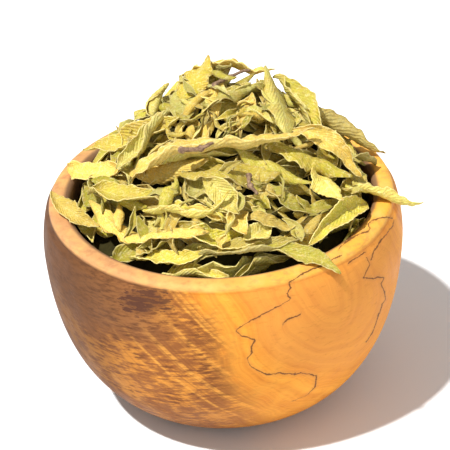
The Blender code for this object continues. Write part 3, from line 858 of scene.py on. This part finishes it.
# Each leaf_ node: x, y, lift, heading, length, width, pitch, arch, sweep, bank, cup and kind
leafPlans = {
    "left_wall": (-44, -3, -3, -70, 26, 9, 0, 25, 0, 25, 50, "O"),
    "left_shade": (-36, -14, -3, -40, 30, 9, 0, 20, 10, 10, 60, "O"),
    "front_left_dark": (-24, -36, -3, 10, 34, 9, 0, 20, -10, -10, 50, "O"),
    "front_mid_dark": (2, -42, -2, -5, 32, 9, 0, 20, 10, -5, 60, "O"),
    "front_right_dark": (32, -33, -2, 40, 34, 9, 0, 20, 5, 0, 60, "G"),
    "right_deep": (45, -12, -2, 80, 32, 9, 0, 25, 0, -10, 60, "G"),
    "back_right_deep": (36, 26, -2, 130, 34, 10, 0, 25, 0, 0, 50, "G"),
    "back_deep": (4, 38, -2, 185, 40, 10, 0, 25, 10, 0, 60, "O"),
    "back_left_deep": (-32, 28, -2, 225, 36, 10, 0, 25, 0, 0, 50, "G"),
    "over_left_rim": (-53, -12, 3, -40, 27, 7, 6, 10, 15, 0, 60, "Y"),
    "front_narrow": (-20, -44, 1, 2, 30, 7, 4, 20, 14, -15, 60, "G"),
    "front_gold": (-30, -31, 1, -36, 56, 9, 0, 26, 30, -24, 90, "Y"),
    "left_long": (-34, -19, 2, -14, 42, 8, 4, 24, 26, -30, 120, "G"),
    "front_pale": (9, -46, 2, 12, 36, 8, 2, 20, 12, -34, 80, "P"),
    "front_tail": (27, -48, 4, -22, 27, 7, 0, 40, -40, 0, 60, "G"),
    "rolled_right": (41, -30, 2, -128, 36, 9, 0, 14, -14, -20, 230, "G"),
    "small_green": (12, -41, 2, 60, 14, 7, 10, 15, 0, 0, 60, "P"),
    "strap": (18, -37, 2, 2, 26, 5, 0, 10, 60, -20, 40, "Y"),
    "pointed": (5, -38, 2, -78, 18, 7, 0, 20, 0, 0, 80, "Y"),
    "tan_crescent": (-13, -34, 2, -12, 32, 8, 0, 24, 30, -20, 60, "G"),
    "curl_grey": (-18, -27, 2, 60, 20, 8, 8, 40, 10, 10, 110, "G"),
    "crumple_mid": (-8, -26, 3, 110, 20, 9, 8, 45, 0, 0, 100, "P"),
    "crumple_right": (1, -32, 3, -60, 20, 8, 0, 45, -20, 10, 100, "P"),
    "u_curl": (25, -29, 2, -20, 40, 6, 0, 20, 110, -20, 70, "G"),
    "right_ribbed": (37, -22, 2, -50, 22, 9, 6, 30, 0, 0, 70, "P"),
    "over_right_rim": (56, -14, 4, -4, 29, 9, 24, -20, -14, -28, 60, "G"),
    "thin_edge": (49, -7, 3, -78, 32, 6, 0, 24, -20, 55, 60, "P"),
    "back_right_wide": (48, 6, 3, 12, 28, 9, 10, 20, 10, -10, 45, "P"),
    "left_curl_tip": (-47, 9, 4, 150, 32, 8, 20, 10, -20, 0, 70, "Y"),
    "left_behind": (-30, 9, 3, 168, 44, 10, 0, 22, 14, -15, 60, "G"),
    "below_arch": (-22, -10, 3, -22, 40, 10, 0, 26, 16, -20, 60, "Y"),
    "shield": (4, -22, 2, 8, 34, 11, 0, 26, -10, -20, 70, "G"),
    "mid_left": (-26, 0, 2, 30, 30, 9, 0, 25, 10, 0, 60, "P"),
    "mid_centre": (-6, -13, 2, 15, 32, 10, 0, 25, 0, -10, 60, "G"),
    "mid_right": (18, -16, 2, -25, 32, 9, 0, 25, -10, -10, 60, "G"),
    "olive_right": (31, -12, 3, -18, 32, 11, 0, 30, 0, -5, 60, "O"),
    "edge_strip": (39, -7, 4, -20, 34, 7, 0, 24, 0, 40, 60, "Y"),
    "upper_right": (44, 17, 5, 2, 36, 9, 26, -10, 16, -30, 70, "Y"),
    "back_right": (22, 27, 2, 60, 36, 10, 0, 28, 0, 0, 60, "G"),
    "back_low": (-4, 32, 2, 115, 38, 10, 0, 28, 0, 0, 60, "P"),
    "back_left": (-22, 24, 2, 205, 38, 10, 0, 28, 10, 0, 60, "G"),
    "arch": (-3, -15, 4, 2, 68, 11, 0, 34, -6, -37, -60, "Y"),
    "mid_top": (8, 6, 2, -10, 30, 10, 0, 25, 0, 0, 60, "G"),
    "back_top": (4, 27, 2, 170, 34, 10, 0, 25, 0, 0, 60, "Y"),
    "right_top": (30, 14, 2, -40, 30, 10, 0, 25, 0, 0, 60, "G"),
    "strip_tan": (-2, 4, 4, -105, 27, 6, 0, 34, 10, 0, -60, "Y"),
    "narrow_pale": (6, 8, 4, 42, 26, 6, 0, 26, 20, 0, 60, "P"),
    "gold_crescent": (10, 1, 3, 60, 18, 5, 0, 20, 60, 0, 50, "Y"),
    "ribbed_hood": (23, 7, 5, -66, 36, 12, 0, 50, -10, -20, -130, "P"),
    "oval": (-12, 8, 5, -100, 20, 9, 0, 30, 0, -20, -50, "P"),
    "top_crumple": (-8, 17, 6, 40, 26, 12, 24, 20, 20, 0, 90, "O"),
    "top_cone": (-20, 15, 6, 42, 21, 13, 22, 0, 0, 10, 300, "G"),
}


widthShare = 1.18  # the visible blades are a little wider than the CAD leaves
singleGrid = (60, 14)
tightRoll = 110  # leaves rolled further than this are less crumpled


def makeLeaves():
    along, across = singleGrid
    for number, (name, plan) in enumerate(leafPlans.items()):
        x, y, lift, heading, length, width, pitch, arch, sweep, bank, cup, kind = plan
        node = "leaf_" + name
        line = midribLine(x, y, lift, heading, length, pitch, arch, sweep)
        rough = 0.35 if abs(cup) > tightRoll else 1.0
        build = ([], [], [], [])
        addBlade(
            build, line, width * widthShare, bank, cup, liftsOf(node, line),
            along, across, rough, ribs=max(7, length / 2.6), seed=100 + number,
        )
        slotName, finish = leafFinish[kind]
        finishPiece("dried_" + name, build, finish, [node])


makeLeaves()
print("single leaves made")


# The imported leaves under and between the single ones, and the broken bits that lie on top
packedPlan = {
    "seed": 7,
    "grid": (7, 3),
    "leaves": 120,
    "reach": 51.5,
    "length": (20, 38),
    "width": (7, 12),
    "wallLength": 24,  # the longest that lies along the wall
    "innerLift": (-11.0, -4.6),
    "outerLift": (-9.0, -4.6),
    "outerFrom": 42,
    "backFrom": 8,  # from here back the outer leaves lie higher
    "backRise": 2.4,
    "leafKinds": "GGGPPYYO",  # a kind is drawn from these letters
    "bits": 110,
    "bitMiddle": (2, -16),
    "bitSpread": (19, 17),
    "bitReach": 48,
    "bareBand": (-14, 9),  # where no bits lie: its middle and half its depth
    "bitLength": (6, 15),
    "bitWidth": (2.5, 5.5),
    "bitKinds": "GPPYYO",
}


def addPackedLeaf(rng, groups, number):
    angle = rng.uniform(0, 2 * math.pi)
    radius = packedPlan["reach"] * math.sqrt(rng.random())
    x, y = radius * math.cos(angle), radius * math.sin(angle)
    length = rng.uniform(*packedPlan["length"])
    width = rng.uniform(*packedPlan["width"])
    heading = rng.uniform(0, 360)
    if rimInner - radius < length / 2:
        heading = math.degrees(angle) + 90 + rng.uniform(-18, 18)
        length = min(length, packedPlan["wallLength"])
    if radius < packedPlan["outerFrom"]:
        lift = rng.uniform(*packedPlan["innerLift"])
    else:
        lift = rng.uniform(*packedPlan["outerLift"])
        lift += packedPlan["backRise"] if y > packedPlan["backFrom"] else 0.0
    pitch, arch, sweep = rng.uniform(-12, 12), rng.uniform(-10, 60), rng.uniform(-40, 40)
    line = midribLine(x, y, lift, heading, length, pitch, arch, sweep)
    kind = rng.choice(packedPlan["leafKinds"])
    quarter = int((angle / (2 * math.pi)) * 4) % 4
    build = groups.setdefault((kind, quarter), ([], [], [], []))
    addBlade(
        build, line, width, rng.uniform(-50, 50), rng.uniform(30, 150), [0.0, 0.0],
        *packedPlan["grid"], rough=1.35, ribs=0, seed=1000 + number, thickness=0.28,
    )


def addBit(rng, groups, number, x, y):
    length = rng.uniform(*packedPlan["bitLength"])
    lift, heading = rng.uniform(-2.5, 2.0), rng.uniform(0, 360)
    pitch, arch, sweep = rng.uniform(-25, 40), rng.uniform(-20, 60), rng.uniform(-70, 70)
    line = midribLine(x, y, lift, heading, length, pitch, arch, sweep)
    build = groups.setdefault((rng.choice(packedPlan["bitKinds"]), int(x > 0)), ([], [], [], []))
    width = rng.uniform(*packedPlan["bitWidth"])
    addBlade(
        build, line, width, rng.uniform(-60, 60), rng.uniform(60, 220), [0.0, 0.0],
        *packedPlan["grid"], rough=1.1, ribs=0, seed=5000 + number, thickness=0.25,
    )


def makeFill():
    rng = random.Random(packedPlan["seed"])
    groups = {}
    for number in range(packedPlan["leaves"]):
        addPackedLeaf(rng, groups, number)
    (middleX, middleY), (spreadX, spreadY) = packedPlan["bitMiddle"], packedPlan["bitSpread"]
    bandMiddle, bandHalf = packedPlan["bareBand"]
    bits = 0
    while bits < packedPlan["bits"]:
        x, y = rng.gauss(middleX, spreadX), rng.gauss(middleY, spreadY)
        if math.hypot(x, y) <= packedPlan["bitReach"] and abs(y - bandMiddle) >= bandHalf:
            addBit(rng, groups, bits, x, y)
            bits += 1
    for (kind, sector), build in sorted(groups.items()):
        slotName, finish = leafFinish[kind]
        finishPiece(f"packed_{slotName}_{sector}", build, finish, ["leaf_bed"])


makeFill()
print("packed leaves made")


# The dark core behind the imported leaves is painted shade, standing for their depths: rings up the wall,
# then rings in over the top
corePlan = {
    "around": 72,
    "bottom": 11.0,
    "wallHeights": (12.0, 30.0, 50.0, 64.0, 70.0),
    "wallGap": 1.2,
    "topRadius": 53.0,
    "topShares": (0.96, 0.86, 0.74, 0.62, 0.50, 0.38, 0.26, 0.13),
    "below": 6.5,  # under the bed's surface
    "topBelow": 6.3,
    "bumps": 1.2,
}


def coreTop(x, y):
    bumpy = corePlan["bumps"] * noise.noise(Vector((x, y, 0)) * 0.25)
    top = heapHeight(x, y) - heapPlan["bedBelow"] - corePlan["below"] + bumpy
    return max(corePlan["wallHeights"][-1], top)


def makeCore():
    around = corePlan["around"]
    rings = [(insideRadius(z) - corePlan["wallGap"], z) for z in corePlan["wallHeights"]]
    rings += [(share * corePlan["topRadius"], None) for share in corePlan["topShares"]]
    points = [Vector((0, 0, corePlan["bottom"])) * mm]
    for radius, z in rings:
        for k in range(around):
            turn = 2 * math.pi * k / around
            x, y = radius * math.cos(turn), radius * math.sin(turn)
            points.append(Vector((x, y, coreTop(x, y) if z is None else z)) * mm)
    points.append(Vector((0, 0, heapHeight(0, 0) - heapPlan["bedBelow"] - corePlan["topBelow"])) * mm)
    last = 1 + (len(rings) - 1) * around
    faces = []
    for k in range(around):
        n = (k + 1) % around
        faces.append((0, 1 + n, 1 + k))
        faces.append((last + k, last + n, len(points) - 1))
        for j in range(len(rings) - 1):
            low, high = 1 + j * around, 1 + (j + 1) * around
            faces.append((low + k, low + n, high + n, high + k))
    made, tree, shader = newMaterial("shadedLeafCore")
    patch = noiseOf(tree, objectPlace(tree), 0.4, 4.0, 0.6)
    colour = blendColour(tree, patch, (0.014, 0.012, 0.004), (0.055, 0.046, 0.014))
    feedAll(tree, shader, {"Base Color": colour, "Roughness": 0.9, "Specular IOR Level": 0.05})
    finishPiece("packed_shade_core", plainBuild(points, faces), made, ["leaf_bed"])


makeCore()
print("core made")


# Twigs of brown bark: heading, length, bend and thickness
twigPlans = {
    "twig_bud": (20, 14, 30, 1.8),
    "twig_mid": (-80, 13, 20, 1.6),
    "twig_top": (40, 18, -20, 1.5),
}
twigRings = 26
twigAround = 12
twigKnots = ((0.55, 0.9), (0.08, 0.6))  # how far along, and how much thicker


def barkFinish():
    made, tree, shader = newMaterial("twigBark")
    patch = noiseOf(tree, objectPlace(tree), 0.9, 4.0, 0.65)
    colour = blendColour(tree, ranged(tree, patch, 0.35, 0.7), (0.13, 0.07, 0.04), (0.36, 0.23, 0.13))
    feedAll(tree, shader, {"Base Color": colour, "Roughness": 0.8})
    return made


# A twig's middle line, and the shift that brings it to the middle of its CAD node's box
def twigLine(node, heading, length, bend):
    centres = []
    for i in range(twigRings + 1):
        t = i / twigRings - 0.5
        turn = math.radians(heading + bend * t)
        step = Vector((math.cos(turn), math.sin(turn), 0.12 * math.sin(6 * t)))
        centres.append(step * (length * t))
    low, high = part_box(node)
    middle = (Vector(low) + Vector(high)) / 2 / mm
    lows = Vector([min(c[k] for c in centres) for k in range(3)])
    highs = Vector([max(c[k] for c in centres) for k in range(3)])
    shift = middle - (lows + highs) / 2
    return centres, shift


def makeTwigs():
    bark = barkFinish()
    for number, (node, (heading, length, bend, thick)) in enumerate(twigPlans.items()):
        centres, shift = twigLine(node, heading, length, bend)
        points, faces = [], []
        for i, centre in enumerate(centres):
            ahead = (centres[min(i + 1, twigRings)] - centres[max(i - 1, 0)]).normalized()
            side = ahead.cross(Vector((0, 0, 1))).normalized()
            up = side.cross(ahead)
            t = i / twigRings
            swell = 1 + sum(size * math.exp(-(((t - at) / 0.05) ** 2)) for at, size in twigKnots)
            for k in range(twigAround):
                turn = 2 * math.pi * k / twigAround
                spot = centre * 1.3 + Vector((math.cos(turn), math.sin(turn), number * 5))
                radius = thick / 2 * swell * (1 + 0.22 * noise.noise(spot)) * (1 - 0.35 * t)
                out = (side * math.cos(turn) + up * math.sin(turn)) * radius
                points.append((centre + shift + out) * mm)
        for i in range(twigRings):
            a, b = i * twigAround, (i + 1) * twigAround
            for k in range(twigAround):
                n = (k + 1) % twigAround
                faces.append((a + k, b + k, b + n, a + n))
        faces.append(tuple(range(twigAround)))
        faces.append(tuple(reversed(range(twigRings * twigAround, (twigRings + 1) * twigAround))))
        finishPiece(node.replace("twig_", "bark_"), plainBuild(points, faces), bark, [node])


makeTwigs()
print("twigs made")


# Floor and light: a pale table under soft studio light, the main light from the upper left
stagePlan = {
    "floorSize": 6.0,
    "floorTone": (0.92, 0.92, 0.92),
    "skyTone": (1.0, 1.0, 1.0),
    "skyStrength": 0.42,
    "lights": {  # direction, strength and spread in degrees
        "keySun": ((-0.36, -0.29, 0.90), 4.7, 2.5),
        "frontFill": ((0.35, -0.9, 0.35), 0.45, 50),
    },
}


def makeStage():
    bpy.ops.mesh.primitive_plane_add(size=stagePlan["floorSize"], location=(0, 0, 0))
    floor = bpy.context.object
    floor.name = "pale_floor"
    made, tree, shader = newMaterial("paleFloor")
    feedAll(tree, shader, {"Base Color": stagePlan["floorTone"], "Roughness": 0.9})
    floor.data.materials.append(made)
    world = bpy.data.worlds.new("softSky")
    bpy.context.scene.world = world
    world.use_nodes = True
    sky = world.node_tree.nodes["Background"]
    feedAll(world.node_tree, sky, {"Color": stagePlan["skyTone"], "Strength": stagePlan["skyStrength"]})
    for name, (direction, power, spread) in stagePlan["lights"].items():
        data = bpy.data.lights.new(name, "SUN")
        data.energy = power
        data.angle = math.radians(spread)
        light = bpy.data.objects.new(name, data)
        bpy.context.scene.collection.objects.link(light)
        light.location = Vector(direction) * 2
        light.rotation_euler = Vector(direction).to_track_quat("Z", "Y").to_euler()
    view = bpy.context.scene.view_settings
    view.view_transform = "Standard"
    view.look = "None"


makeStage()
print("stage made")
